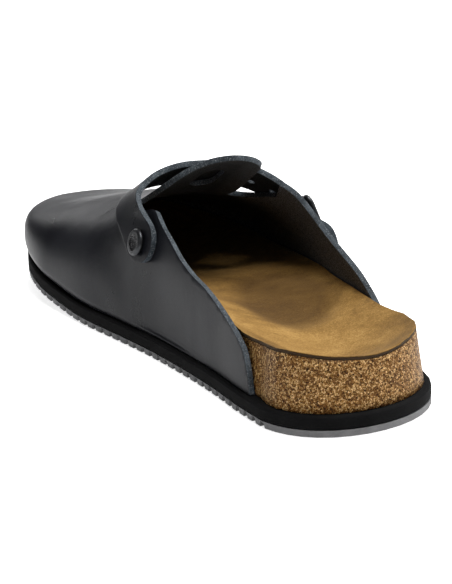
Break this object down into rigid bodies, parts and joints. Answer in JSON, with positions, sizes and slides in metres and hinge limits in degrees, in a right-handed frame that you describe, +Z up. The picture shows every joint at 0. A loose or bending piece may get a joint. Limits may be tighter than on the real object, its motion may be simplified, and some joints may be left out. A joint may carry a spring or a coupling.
{
  "type": "chef clog",
  "caption": "Slip-on open-back kitchen clog: moulded cork footbed on a ribbed rubber sole, hollow leather upper with a raised tab and a buckled instep strap",
  "frame": {"origin": "on the floor, under the middle of the heel's plain patch, 14 mm from the back of the sole", "axes": "+Y from heel to toe, +X to the wearer's right (the outer side), +Z up"},
  "size_m": [0.1083, 0.2884, 0.0764],
  "materials": {
    "tread_rubber": "matt grey rubber",
    "sole_foam": "matt black foam rubber",
    "cork": "sealed cork granulate, half gloss",
    "suede": "napped mustard suede",
    "black_leather": "smooth black leather, soft sheen",
    "dark_metal": "blackened metal, satin"
  },
  "bodies": {
    "root": {"outsole": "tread_rubber", "midsole": "sole_foam", "footbed": "cork", "insole": "suede", "upper": "black_leather", "strap": "black_leather", "strap_rivet": "dark_metal", "buckle_frame": "dark_metal", "buckle_prong": "dark_metal", "buckle_chape": "black_leather", "chape_rivet": "dark_metal"}
  },
  "joints": []
}
